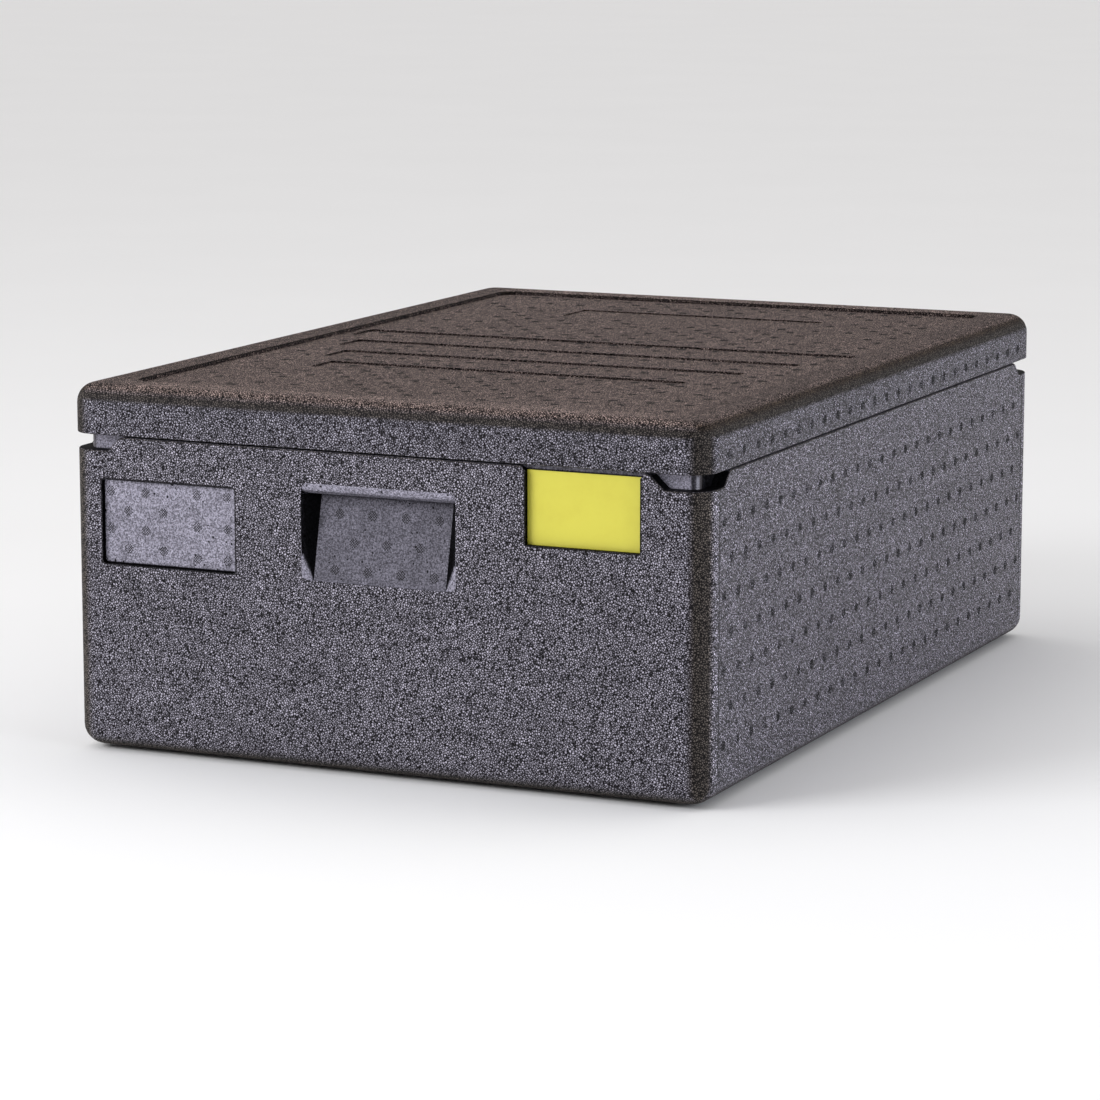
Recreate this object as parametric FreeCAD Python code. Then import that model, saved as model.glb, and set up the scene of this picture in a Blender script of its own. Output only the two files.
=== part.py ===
import FreeCAD, Part

import math
import os

# Top-loading insulated food carrier, moulded in bead foam: an open box, a lift-off lid and label cards.
# Units are millimetres. +Z is up, the front end faces -Y, and the origin is the middle of the underside.

V = FreeCAD.Vector
UP = V(0, 0, 1)

# Box
WIDTH = 485.0
LENGTH = 685.0
NEST_PAD_HEIGHT = 2.5
LEDGE_Z = 226.5
CORNER_R = 18.0
BOTTOM_R = 15.0
LEDGE_EDGE_R = 1.2

# Pad under the box that nests in the lid panel of the carrier below
NEST_PAD_WIDTH = 416.0
NEST_PAD_LENGTH = 618.0
NEST_PAD_CHAMFER = 1.0

# Food cavity, for 600 x 400 trays
CAVITY_WIDTH = 425.0
CAVITY_LENGTH = 625.0
CAVITY_FLOOR_Z = 32.0
CAVITY_CORNER_R = 30.0
CAVITY_FLOOR_R = 10.0

# Sealing tongue round the mouth of the box
TONGUE_INSET = 10.0
TONGUE_TOP_Z = 238.5
TONGUE_CORNER_R = 8.0
TONGUE_CHAMFER = 1.2

# Finger notches in the ledge, one round each corner
NOTCH_DEPTH = 10.0
NOTCH_REACH = 41.0
NOTCH_SLOPE_RUN = 10.5
NOTCH_FOOT_R = 3.0
NOTCH_TOP_R = 6.0
NOTCH_SWEEP = 30.0

# Handle recess: a slanted back that is deep at the top and runs out at the bottom
HANDLE_WIDTH = 118.0
HANDLE_BACK_WIDTH = 101.0
HANDLE_BOTTOM_Z = 136.0
HANDLE_CEILING_Z = 196.0
HANDLE_TOP_DEPTH = 15.5
HANDLE_BOTTOM_DEPTH = 1.9
HANDLE_LIP_R = 7.8
HANDLE_CORNER_R = 5.0
HANDLE_SECTIONS = 9

# Shoulders on both sides of the handle, which widen from this height down to the bottom
SHOULDER_TOP_Z = 172.0
SHOULDER_WIDTH = 8.2
SHOULDER_SLOPE = 0.14
SHOULDER_PULL = 0.75

# Smooth label panel, left of the handle
PANEL_WIDTH = 106.0
PANEL_HEIGHT = 60.5
PANEL_X = -164.0
PANEL_Z = 166.3
PANEL_DEPTH = 3.4
PANEL_CORNER_R = 2.5
PANEL_DRAFT = 0.8

# Card pocket, right of the handle and open at the top
CARD_WIDTH = 86.0
CARD_HEIGHT = 52.0
CARD_THICKNESS = 0.8
CARD_CORNER_R = 1.5
CARD_X = 152.7
CARD_BOTTOM_Z = 171.4
CARD_SETBACK = 4.5
CARD_CLEARANCE = 0.35
POCKET_LIP = 1.4
POCKET_LEAD_IN = 3.4

# Lid
LID_OVERHANG = 0.8
LID_BOTTOM_Z = 227.5
LID_TOP_Z = 262.5
LID_TOP_R = 14.0
LID_BOTTOM_R = 0.8
LID_INNER_Z = 232.0
SEAL_CLEARANCE = 0.5
GROOVE_CLEARANCE = 0.4

# Sunken panel on the lid
TOP_PANEL_WIDTH = 419.0
TOP_PANEL_LENGTH = 621.0
TOP_PANEL_DEPTH = 3.0
TOP_PANEL_R = 14.0
TOP_PANEL_EDGE_R = 1.2

# Four shallow strips across the panel, each wider than the one in front of it
STRIP_COUNT = 4
STRIP_FIRST_HALF_WIDTH = 142.0
STRIP_HALF_WIDTH_STEP = 20.0
STRIP_FIRST_BACK_Y = -135.0
STRIP_PITCH = 61.0
STRIP_LENGTH = 36.0
STRIP_DEPTH = 1.6
STRIP_CORNER_R = 4.0

# Blank plaque at the back of the panel
PLAQUE_WIDTH = 208.0
PLAQUE_LENGTH = 46.0
PLAQUE_Y = 214.0
PLAQUE_DEPTH = 1.2

OVERCUT = 5.0


def rounded_outline(width, length, radius):
    """Closed wire in the XY plane, centred on the origin."""
    x = width / 2
    y = length / 2
    dx = x - radius
    dy = y - radius
    arc_reach = radius * math.sqrt(0.5)
    edges = []
    for sx, sy, first_along_y in ((1, -1, False), (1, 1, True), (-1, 1, False), (-1, -1, True)):
        side_point = V(sx * x, sy * dy, 0)
        end_point = V(sx * dx, sy * y, 0)
        middle = V(sx * (dx + arc_reach), sy * (dy + arc_reach), 0)
        start, finish = (side_point, end_point) if first_along_y else (end_point, side_point)
        edges.append((start, middle, finish))
    lines = []
    for index, (start, middle, finish) in enumerate(edges):
        lines.append(Part.Arc(start, middle, finish).toShape())
        next_start = edges[(index + 1) % len(edges)][0]
        lines.append(Part.LineSegment(finish, next_start).toShape())
    return Part.Wire(lines)


def slab(width, length, radius, low_z, high_z, centre=(0.0, 0.0)):
    """Upright plate with rounded corners between two heights."""
    face = Part.Face(rounded_outline(width, length, radius))
    face.translate(V(centre[0], centre[1], low_z))
    return face.extrude(UP * (high_z - low_z))


def prism(points, direction):
    """Closed polygon through the points, swept along the direction."""
    return Part.Face(Part.makePolygon(points + [points[0]])).extrude(direction)


def rounded_path(corners):
    """Closed wire through (point, radius) corners, each rounded with an arc where its radius isn't zero."""
    turns = []
    for index, (point, radius) in enumerate(corners):
        back = (corners[index - 1][0] - point).normalize()
        ahead = (corners[(index + 1) % len(corners)][0] - point).normalize()
        half_angle = back.getAngle(ahead) / 2
        reach = radius / math.tan(half_angle)
        sagitta = radius / math.sin(half_angle) - radius
        middle = point + (back + ahead).normalize() * sagitta
        turns.append((point + back * reach, middle, point + ahead * reach))
    edges = []
    for index, (start, middle, finish) in enumerate(turns):
        if start != finish:
            edges.append(Part.Arc(start, middle, finish).toShape())
        edges.append(Part.LineSegment(finish, turns[(index + 1) % len(turns)][0]).toShape())
    return Part.Wire(edges)


def flat_edges(shape, height, inside=None):
    """Edges that lie wholly at one height, and within the half sizes given by inside."""
    found = []
    for edge in shape.Edges:
        box = edge.BoundBox
        level = abs(box.ZMin - height) < 1e-4 and abs(box.ZMax - height) < 1e-4
        if level and (inside is None or (box.XMax <= inside[0] and box.YMax <= inside[1])):
            found.append(edge)
    return found


def turned(shape):
    """The same shape at the opposite end of the carrier."""
    copy = shape.copy()
    copy.rotate(V(0, 0, 0), UP, 180)
    return copy


def box_blank():
    """Outer block with its rounded bottom edge and the nesting pad."""
    block = slab(WIDTH, LENGTH, CORNER_R, NEST_PAD_HEIGHT, LEDGE_Z)
    block = block.makeFillet(BOTTOM_R, flat_edges(block, NEST_PAD_HEIGHT))
    pad = slab(NEST_PAD_WIDTH, NEST_PAD_LENGTH, TOP_PANEL_R, 0, NEST_PAD_HEIGHT + OVERCUT)
    pad = pad.makeChamfer(NEST_PAD_CHAMFER, flat_edges(pad, 0))
    return block.fuse(pad)


def tongue_block(low_z, high_z):
    """Everything inside the outer face of the sealing tongue."""
    inset = 2 * TONGUE_INSET
    return slab(WIDTH - inset, LENGTH - inset, TONGUE_CORNER_R, low_z, high_z)


def food_cavity():
    cavity = slab(CAVITY_WIDTH, CAVITY_LENGTH, CAVITY_CORNER_R, CAVITY_FLOOR_Z, TONGUE_TOP_Z + OVERCUT)
    return cavity.makeFillet(CAVITY_FLOOR_R, flat_edges(cavity, CAVITY_FLOOR_Z))


def notch_profile(half_size, place):
    """Outline of a notch across one corner. place turns (distance along the side, height) into a point."""
    low = LEDGE_Z - NOTCH_DEPTH
    high = LEDGE_Z + OVERCUT
    outer = half_size + OVERCUT
    slope_top = half_size - NOTCH_REACH
    slope_foot = slope_top + NOTCH_SLOPE_RUN
    run_out = slope_top - OVERCUT
    outline = (
        (outer, low, 0), (slope_foot, low, NOTCH_FOOT_R), (slope_top, LEDGE_Z, NOTCH_TOP_R),
        (run_out, LEDGE_Z, 0), (run_out, high, 0), (outer, high, 0),
    )
    return rounded_path([(place(along, height), radius) for along, height, radius in outline])


def corner_notches():
    """Cutter for the four notches, which stop at the outer face of the tongue."""
    x = WIDTH / 2
    y = LENGTH / 2
    across_end = Part.Face(notch_profile(x, lambda along, z: V(along, -y - OVERCUT, z)))
    across_side = Part.Face(notch_profile(y, lambda along, z: V(x + OVERCUT, -along, z)))
    along_x = across_end.extrude(V(0, NOTCH_SWEEP, 0))
    along_y = across_side.extrude(V(-NOTCH_SWEEP, 0, 0))
    corner = along_x.fuse(along_y)
    corner = corner.cut(tongue_block(0, LEDGE_Z + 2 * OVERCUT))
    cutters = []
    for source in (corner, corner.mirror(V(0, 0, 0), V(1, 0, 0))):
        cutters.append(source)
        cutters.append(turned(source))
    return cutters


def handle_section(height):
    """Outline of the handle recess at one height, from outside the face to its slanted back."""
    rise = (height - HANDLE_BOTTOM_Z) / (HANDLE_CEILING_Z - HANDLE_BOTTOM_Z)
    depth = HANDLE_BOTTOM_DEPTH + rise * (HANDLE_TOP_DEPTH - HANDLE_BOTTOM_DEPTH)
    drop = max(0.0, SHOULDER_TOP_Z - height) / (SHOULDER_TOP_Z - HANDLE_BOTTOM_Z)
    shoulder = SHOULDER_WIDTH * drop ** 2
    face = -LENGTH / 2
    half_open = HANDLE_WIDTH / 2
    half_back = HANDLE_BACK_WIDTH / 2

    def side(sign):
        start = V(sign * half_open, face, height)
        bend = V(sign * (half_open - shoulder), face + shoulder * SHOULDER_SLOPE, height)
        end = V(sign * half_back, face + depth, height)
        curve = Part.BezierCurve()
        before_bend = start + (bend - start) * SHOULDER_PULL
        after_bend = end + (bend - end) * SHOULDER_PULL
        curve.setPoles([start, before_bend, after_bend, end])
        return curve.toShape()

    outer_left = V(-half_open, face - OVERCUT, height)
    outer_right = V(half_open, face - OVERCUT, height)
    back_left = V(-half_back, face + depth, height)
    back_right = V(half_back, face + depth, height)
    right_edge = side(1)
    right_edge.reverse()
    edges = [
        Part.LineSegment(outer_left, V(-half_open, face, height)).toShape(),
        side(-1),
        Part.LineSegment(back_left, back_right).toShape(),
        right_edge,
        Part.LineSegment(V(half_open, face, height), outer_right).toShape(),
        Part.LineSegment(outer_right, outer_left).toShape(),
    ]
    return Part.Wire(edges)


def handle_recess():
    """Cutter for the handle recess and the rounded lip above it."""
    step = (HANDLE_CEILING_Z - HANDLE_BOTTOM_Z) / (HANDLE_SECTIONS - 1)
    sections = [handle_section(HANDLE_BOTTOM_Z + index * step) for index in range(HANDLE_SECTIONS)]
    recess = Part.makeLoft(sections, True, False)
    face = -LENGTH / 2
    start_x = -HANDLE_WIDTH / 2
    lip_corner = V(start_x, face - OVERCUT, HANDLE_CEILING_Z)
    lip = Part.makeBox(HANDLE_WIDTH, HANDLE_LIP_R + OVERCUT, HANDLE_LIP_R, lip_corner)
    roll_centre = V(start_x, face + HANDLE_LIP_R, HANDLE_CEILING_Z + HANDLE_LIP_R)
    roll = Part.makeCylinder(HANDLE_LIP_R, HANDLE_WIDTH, roll_centre, V(1, 0, 0))
    height = HANDLE_CEILING_Z + HANDLE_LIP_R - HANDLE_BOTTOM_Z
    opening = slab(HANDLE_WIDTH, height, HANDLE_CORNER_R, -HANDLE_TOP_DEPTH - OVERCUT, OVERCUT)
    opening.rotate(V(0, 0, 0), V(1, 0, 0), 90)
    opening.translate(V(0, face, HANDLE_BOTTOM_Z + height / 2))
    return recess.fuse(lip.cut(roll)).common(opening)


def label_panel():
    """Cutter for the smooth panel, with slightly drafted walls."""
    outer = Part.Face(rounded_outline(PANEL_WIDTH, PANEL_HEIGHT, PANEL_CORNER_R))
    inner_width = PANEL_WIDTH - 2 * PANEL_DRAFT
    inner = Part.Face(rounded_outline(inner_width, PANEL_HEIGHT - 2 * PANEL_DRAFT, PANEL_CORNER_R))
    inner.translate(V(0, 0, -PANEL_DEPTH))
    cutter = Part.makeLoft([inner.OuterWire, outer.OuterWire], True, True)
    cutter = cutter.fuse(outer.extrude(UP))
    cutter.rotate(V(0, 0, 0), V(1, 0, 0), 90)
    cutter.translate(V(PANEL_X, -LENGTH / 2, PANEL_Z))
    return cutter


def card_pocket():
    """Cutter for the card slot, the window in front of it and the lead-in at its mouth."""
    face = -LENGTH / 2
    top = LEDGE_Z + OVERCUT
    slot_half = CARD_WIDTH / 2 + CARD_CLEARANCE
    slot_foot = CARD_BOTTOM_Z - CARD_CLEARANCE
    slot_front = face + CARD_SETBACK - CARD_CLEARANCE
    slot_depth = CARD_THICKNESS + 2 * CARD_CLEARANCE
    slot_corner = V(CARD_X - slot_half, slot_front, slot_foot)
    slot = Part.makeBox(2 * slot_half, slot_depth, top - slot_foot, slot_corner)
    half = slot_half - POCKET_LIP
    foot = slot_foot + POCKET_LIP
    spread = half + POCKET_LEAD_IN
    bend = LEDGE_Z - POCKET_LEAD_IN
    spread_top = spread + OVERCUT
    outline = (
        (-half, foot), (half, foot), (half, bend), (spread, LEDGE_Z), (spread_top, top),
        (-spread_top, top), (-spread, LEDGE_Z), (-half, bend),
    )
    points = [V(CARD_X + x, face - OVERCUT, z) for x, z in outline]
    window = prism(points, V(0, OVERCUT + CARD_SETBACK, 0))
    return slot.fuse(window)


def is_on_outer_wall(point):
    """Whether a point lies on the upright outer wall of the box."""
    dx = abs(point.x) - (WIDTH / 2 - CORNER_R)
    dy = abs(point.y) - (LENGTH / 2 - CORNER_R)
    if dx > 0 and dy > 0:
        reach = math.hypot(dx, dy)
    else:
        reach = max(dx, dy)
    return abs(reach - CORNER_R) < 1e-3


def ledge_outline(shape):
    """Outer edges of the ledge and of the notches in it."""
    lowest = LEDGE_Z - NOTCH_DEPTH - 0.01
    found = []
    for edge in shape.Edges:
        middle = edge.valueAt((edge.FirstParameter + edge.LastParameter) / 2)
        ends = [vertex.Point for vertex in edge.Vertexes]
        if edge.BoundBox.ZMin > lowest and all(is_on_outer_wall(point) for point in ends + [middle]):
            found.append(edge)
    return found


def cut_all(shape, cutters):
    for cutter in cutters:
        shape = shape.cut(cutter)
    return shape


def base_box():
    body = box_blank()
    body = body.fuse(tongue_block(LEDGE_Z - OVERCUT, TONGUE_TOP_Z))
    body = body.makeChamfer(TONGUE_CHAMFER, flat_edges(body, TONGUE_TOP_Z))
    body = cut_all(body, corner_notches()).removeSplitter()
    body = body.makeFillet(LEDGE_EDGE_R, ledge_outline(body))
    end_features = [handle_recess(), label_panel(), card_pocket()]
    body = cut_all(body, [food_cavity()] + end_features + [turned(shape) for shape in end_features])
    return body.removeSplitter().Solids[0]


def lid_strips():
    """Cutters for the shallow strips across the sunken panel."""
    floor = LID_TOP_Z - TOP_PANEL_DEPTH - STRIP_DEPTH
    strips = []
    for index in range(STRIP_COUNT):
        width = 2 * (STRIP_FIRST_HALF_WIDTH + index * STRIP_HALF_WIDTH_STEP)
        middle = STRIP_FIRST_BACK_Y + index * STRIP_PITCH - STRIP_LENGTH / 2
        strips.append(slab(width, STRIP_LENGTH, STRIP_CORNER_R, floor, LID_TOP_Z, (0.0, middle)))
    return strips


def lid_blank():
    """Outer block of the lid with its rounded edges and the sunken panel."""
    width = WIDTH + 2 * LID_OVERHANG
    length = LENGTH + 2 * LID_OVERHANG
    blank = slab(width, length, CORNER_R + LID_OVERHANG, LID_BOTTOM_Z, LID_TOP_Z)
    blank = blank.makeFillet(LID_TOP_R, flat_edges(blank, LID_TOP_Z))
    blank = blank.makeFillet(LID_BOTTOM_R, flat_edges(blank, LID_BOTTOM_Z))
    floor = LID_TOP_Z - TOP_PANEL_DEPTH
    blank = blank.cut(slab(TOP_PANEL_WIDTH, TOP_PANEL_LENGTH, TOP_PANEL_R, floor, LID_TOP_Z + OVERCUT))
    rim = flat_edges(blank, LID_TOP_Z, (TOP_PANEL_WIDTH / 2 + 1, TOP_PANEL_LENGTH / 2 + 1))
    return blank.makeFillet(TOP_PANEL_EDGE_R, rim)


def lid_underside():
    """Cutter for the underside: open to the box, with a groove round a plug that drops into the cavity."""
    inset = 2 * (TONGUE_INSET - SEAL_CLEARANCE)
    radius = TONGUE_CORNER_R + SEAL_CLEARANCE
    groove_top = TONGUE_TOP_Z + GROOVE_CLEARANCE
    hollow = slab(WIDTH - inset, LENGTH - inset, radius, LID_BOTTOM_Z - OVERCUT, groove_top)
    plug_width = CAVITY_WIDTH - 2 * SEAL_CLEARANCE
    plug_length = CAVITY_LENGTH - 2 * SEAL_CLEARANCE
    plug = slab(plug_width, plug_length, CAVITY_CORNER_R - SEAL_CLEARANCE, LID_INNER_Z, groove_top)
    plug = plug.makeChamfer(TONGUE_CHAMFER, flat_edges(plug, LID_INNER_Z))
    return hollow.cut(plug)


def plaque():
    """Cutter for the blank plaque at the back of the lid panel."""
    floor = LID_TOP_Z - TOP_PANEL_DEPTH - PLAQUE_DEPTH
    return slab(PLAQUE_WIDTH, PLAQUE_LENGTH, STRIP_CORNER_R, floor, LID_TOP_Z, (0.0, PLAQUE_Y))


def lid():
    cutters = lid_strips() + [plaque(), lid_underside()]
    return cut_all(lid_blank(), cutters).removeSplitter().Solids[0]


def label_card():
    """Flat card standing in the front pocket."""
    outline = Part.Face(rounded_outline(CARD_WIDTH, CARD_HEIGHT, CARD_CORNER_R))
    card = outline.extrude(UP * CARD_THICKNESS)
    card.rotate(V(0, 0, 0), V(1, 0, 0), 90)
    middle_z = CARD_BOTTOM_Z + CARD_HEIGHT / 2
    card.translate(V(CARD_X, -LENGTH / 2 + CARD_SETBACK + CARD_THICKNESS, middle_z))
    return card


def main():
    os.makedirs("parts", exist_ok=True)
    front_card = label_card()
    pieces = {
        "base_box": base_box(),
        "lid": lid(),
        "front_label_card": front_card,
        "rear_label_card": turned(front_card),
    }
    for name, shape in pieces.items():
        shape.exportStep(os.path.join("parts", name + ".step"))
        print(name, shape.ShapeType, len(shape.Solids), shape.isValid(), round(shape.Volume))


main()
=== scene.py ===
import math
import random

import bmesh
import bpy
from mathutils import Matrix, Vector


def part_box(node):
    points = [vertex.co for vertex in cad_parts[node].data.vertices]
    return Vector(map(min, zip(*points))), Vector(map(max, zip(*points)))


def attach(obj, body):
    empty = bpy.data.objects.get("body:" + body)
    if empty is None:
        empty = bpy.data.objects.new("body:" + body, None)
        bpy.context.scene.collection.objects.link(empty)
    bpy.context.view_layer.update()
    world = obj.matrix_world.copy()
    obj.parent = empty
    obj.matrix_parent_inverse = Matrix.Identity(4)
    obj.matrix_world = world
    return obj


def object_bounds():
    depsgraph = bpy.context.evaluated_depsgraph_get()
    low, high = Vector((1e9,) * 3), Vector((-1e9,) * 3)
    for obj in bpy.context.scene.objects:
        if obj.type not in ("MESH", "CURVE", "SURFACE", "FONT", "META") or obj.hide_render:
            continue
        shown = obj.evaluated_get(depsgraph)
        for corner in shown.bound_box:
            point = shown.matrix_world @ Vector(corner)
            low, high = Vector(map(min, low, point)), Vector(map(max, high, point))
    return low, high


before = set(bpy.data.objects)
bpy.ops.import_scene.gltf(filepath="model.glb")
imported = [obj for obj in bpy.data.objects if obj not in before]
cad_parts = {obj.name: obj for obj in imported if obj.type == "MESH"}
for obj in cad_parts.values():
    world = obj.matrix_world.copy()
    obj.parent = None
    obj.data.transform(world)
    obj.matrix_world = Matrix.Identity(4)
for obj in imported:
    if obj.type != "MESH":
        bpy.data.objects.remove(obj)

# Insulated food carrier in charcoal bead foam. Metres, in the frame of the CAD part:
# +Z up, the front end with the yellow card faces -Y, and the origin is the middle of the underside.
# The CAD nodes get node materials. The marks of the steam vents are pieces of their own.

MM = 0.001

bpy.context.view_layer.update()
CAD_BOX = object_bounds()
BOX_LOW, BOX_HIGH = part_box("base_box")
LID_LOW, LID_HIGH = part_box("lid")
CARD_TOP_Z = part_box("front_label_card")[1].z

# Outer outline of the box, and the sunken panel of the lid
HALF_WIDTH = BOX_HIGH.x
HALF_LENGTH = BOX_HIGH.y
CORNER_R = 18 * MM
BOTTOM_ROUND_TOP = 18 * MM
LID_PANEL_Z = LID_HIGH.z - 3 * MM
LID_PANEL_HALF_WIDTH = 209.5 * MM
LID_PANEL_HALF_LENGTH = 310.5 * MM

# Label panel on an end, seen from outside, with the card on the right
PANEL_CENTRE = (-164 * MM, 166.3 * MM)
PANEL_HALF_SIZE = (53 * MM, 30.25 * MM)
PANEL_CORNER_R = 2.5 * MM
PANEL_DEPTH = 3.4 * MM

# Handle recess on an end: its slanted back, and its outline with the rounded lip above
HANDLE_LOW_Z = 136 * MM
HANDLE_HIGH_Z = 196 * MM
HANDLE_LOW_DEPTH = 1.9 * MM
HANDLE_HIGH_DEPTH = 15.5 * MM
HANDLE_SLOPE = (HANDLE_HIGH_DEPTH - HANDLE_LOW_DEPTH) / (HANDLE_HIGH_Z - HANDLE_LOW_Z)
HANDLE_HALF_WIDTH = 59 * MM
HANDLE_LIP_Z = 203.8 * MM
HANDLE_CORNER_R = 5 * MM

# Window of the card pocket. Its outline runs on past its open top.
WINDOW_X = 152.7 * MM
WINDOW_HALF_WIDTH = 41.95 * MM
WINDOW_LOW_Z = 172.45 * MM
WINDOW_HALF_HEIGHT = 60 * MM
WINDOW_CORNER_R = 1 * MM
WINDOW_BEND_Z = 223.1 * MM
POCKET_DEPTH = 7 * MM
POCKET_MARGIN = 8 * MM

# Strips across the lid's panel, each wider than the one in front of it, and the blank plaque behind them
STRIP_COUNT = 4
STRIP_HALF_WIDTH = 142 * MM
STRIP_STEP = 20 * MM
STRIP_BACK_Y = -135 * MM
STRIP_PITCH = 61 * MM
STRIP_LENGTH = 36 * MM
STRIP_DEPTH = 1.6 * MM
PLAQUE_HALF = (104 * MM, 23 * MM)
PLAQUE_Y = 214 * MM
PLAQUE_DEPTH = 1.2 * MM

# How deep in the outline the walls of the recesses reach, below and above the top of the handle
RECESS_DEEPEST = 20 * MM
LEDGE_DEEPEST = 10.6 * MM
ABOVE_HANDLE_Z = 205 * MM

# Ledge under the lid, the sealing tongue that shows in the finger notches, and the mould's parting line
LEDGE_Z = 226.5 * MM
LEDGE_SHADE_TOP_Z = LEDGE_Z + 0.7 * MM
TONGUE_INSET = 10 * MM
TONGUE_REACH = 4 * MM
TONGUE_LOW_Z = 216.5 * MM
PARTING_Y = HALF_LENGTH - 22.5 * MM
PARTING_TOP_Z = LEDGE_Z + 0.5 * MM

# Pairs (low, high) are ranges of a distance, height or facing over which a mask comes or goes.
# A facing is a part of the surface normal: SIDEWAYS is the size of its X, UP is its Z, and for CORNER_FACING
# it is the lesser of the sizes of its X and Y.
SKIN_INSET = (0.22 * MM, 0.5 * MM)
SKIN_Z = (BOTTOM_ROUND_TOP, BOTTOM_ROUND_TOP + 3 * MM)
HANDLE_OUTLINE = (-0.1 * MM, 0.1 * MM)
HANDLE_BACK_INSET = (1.4 * MM, 2.4 * MM)
UNDER_LIP_INSET = (5 * MM, 8 * MM)
UNDER_LIP_Z = (HANDLE_HIGH_Z - 4 * MM, HANDLE_HIGH_Z)
HANDLE_RIM_UP = (0.6, 0.88)
WALL_SIDEWAYS = (0.62, 0.82)
HANDLE_WALL_SIDEWAYS = (0.30, 0.50)
LEDGE_UP = (0.30, 0.55)
TONGUE_CORNER_FACING = (0.15, 0.40)
TONGUE_CORNER_UP = (0.1, 0.2)
POCKET_Z = (168 * MM, 170 * MM)
BEHIND_CARD_Z = (CARD_TOP_Z + 0.5 * MM, CARD_TOP_Z + 1.4 * MM)
PANEL_LINE_INNER = (-1.7 * MM, -1.0 * MM)
PANEL_LINE_OUTER = (0.6 * MM, 1.2 * MM)
PANEL_LINE_WIDTH = 1.8 * MM
PANEL_FLOOR_INSET = PANEL_DEPTH - 0.4 * MM
PANEL_LINE_DEEPEST = PANEL_DEPTH + 1 * MM
WINDOW_LINE_INNER = -1 * MM
WINDOW_LINE_OUTER = (0.8 * MM, 1.4 * MM)
WINDOW_LINE_TOP = (WINDOW_BEND_Z, WINDOW_BEND_Z + 1 * MM)
PARTING_SIDEWAYS = (0.85, 0.95)
PARTING_Z = (14 * MM, 20 * MM)
PARTING_LINE = (0.6 * MM, 1.2 * MM)
PARTING_STRIP = (1.0 * MM, 2.0 * MM)
CORNER_FACING = (0.10, 0.51)
UPPER_EDGE_UP = (0.08, 0.34)
UPPER_EDGE_END_UP = (0.50, 0.82)
UPPER_EDGE_SIDE_UP = (0.74, 0.97)
LOWER_EDGE_UP = (-0.85, -0.35)
SIDE_SIDEWAYS = (0.75, 0.95)
TOP_UP = (0.42, 0.84)
LID_SKIN_INSET = (1.5 * MM, 3 * MM)
LID_SKIN_Z = (240 * MM, 241.5 * MM)
LID_WALL_INSET = (20 * MM, 22 * MM)
LID_WALL_Z = (244 * MM, 246 * MM)
LID_WALL_UP = (0.75, 0.92)
RIM_Z = (261.0 * MM, 262.2 * MM)
END_RIM_Y = (LID_PANEL_HALF_LENGTH - 25 * MM, LID_PANEL_HALF_LENGTH)
END_RIM_PAST_SIDE = (-25 * MM, 10 * MM)

# What the light of a surface is multiplied by; much of it is painted shade and painted light
# Painted shade on the side walls of the recesses and the floors of the notches
SHADED_LIGHT = 0.02
# Painted shadow under the handle's lip
UNDER_LIP_LIGHT = 0.10
# Painted light on the handle's rim
HANDLE_RIM_LIGHT = 1.5
# Painted light on the tongue's outer face, and painted shade on its rounded corners
TONGUE_LIGHT = 1.35
TONGUE_CORNER_LIGHT = 0.15
# Painted shade in the card pocket, and a painted shadow line just above the card
POCKET_LIGHT = 0.55
BEHIND_CARD_LIGHT = 0.12
# Painted sheen on the skin outside the handle's back, and painted shade on the handle's back
SKIN_LIGHT = 1.15
HANDLE_BACK_LIGHT = 0.56
# Painted shade on the lid's low walls
LID_WALL_LIGHT = 0.36
# Painted shade lines round the label panel and the card window
END_SHADE_LINE_LIGHT = 0.08
PARTING_LIGHT = 0.15
PARTING_STRIP_LIGHT = 1.35
PINHOLE_LIGHT = 0.06
# Painted shade on the lid's rim along the sides, and painted light on it across the ends
SIDE_RIM_LIGHT = 0.8
END_RIM_LIGHT = 1.3

# How much of the painted shade of a recess the ledge under the lid gets
LEDGE_SHADE = 0.8

# Beads: size, irregularity, turn of the lattice, which keeps any face from cutting it at one phase, and warp
BEAD = 1.5 * MM
BEAD_RANDOMNESS = 0.85
LATTICE_TURN = (0.6, 0.4, 0.8)
WARP_SCALE = 330.0
WARP = 0.6 * MM
CLEAR_OF_SEAM = (0.07, 0.30)

# Light in a seam and on a bead, and on the darkest and the lightest bead. The dark seams are painted shade,
# the beads away from their seams painted highlights, and the tones of the beads partly stand for highlights
# that differ from bead to bead.
BEAD_LIGHT = (0.03, 3.05)
EDGE_BEAD_LIGHT = (0.14, 2.85)
SKIN_BEAD_LIGHT = (0.80, 1.10)
BEAD_TONES = (0.64, 1.36)

# Noise: scale, detail and roughness
FINE_NOISE = (800.0, 3.0, 0.7)
COARSE_NOISE = (90.0, 3.0, 0.55)
CLOUD_NOISE = (9.0, 3.0)
SIDE_NOISE = (560.0, 1.0)
TOP_NOISE = (200.0, 2.0)

# Range of a noise, and the range of light it gives
FINE_TO_SKIN_LIGHT = (0.36, 0.64, 0.42, 1.62)
COARSE_TO_LIGHT = (0.3, 0.7, 0.86, 1.14)
SIDE_TO_LIGHT = (0.34, 0.66, 0.34, 1.74)
TOP_TO_LIGHT = (0.36, 0.64, 0.78, 1.22)

# Light at the ends of the cloud noise, and where the coarse noise breaks up the painted shade on the lid's
# low walls
CLOUD_LIGHT = (0.88, 1.12)
WALL_BREAKS = (0.25, 0.5)

# Relief in millimetres: of beads, and on the skin of grain and pinholes
BEAD_RELIEF = 0.40
GRAIN_RELIEF = 0.12
PINHOLE_RELIEF = 0.5

# Shares of the beads' relief: what is left of it in a seam and on an edge, and the grain's part in it
SEAM_SHARE = 0.7
EDGE_SHARE = 0.4
GRAIN_SHARE = 0.15

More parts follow.
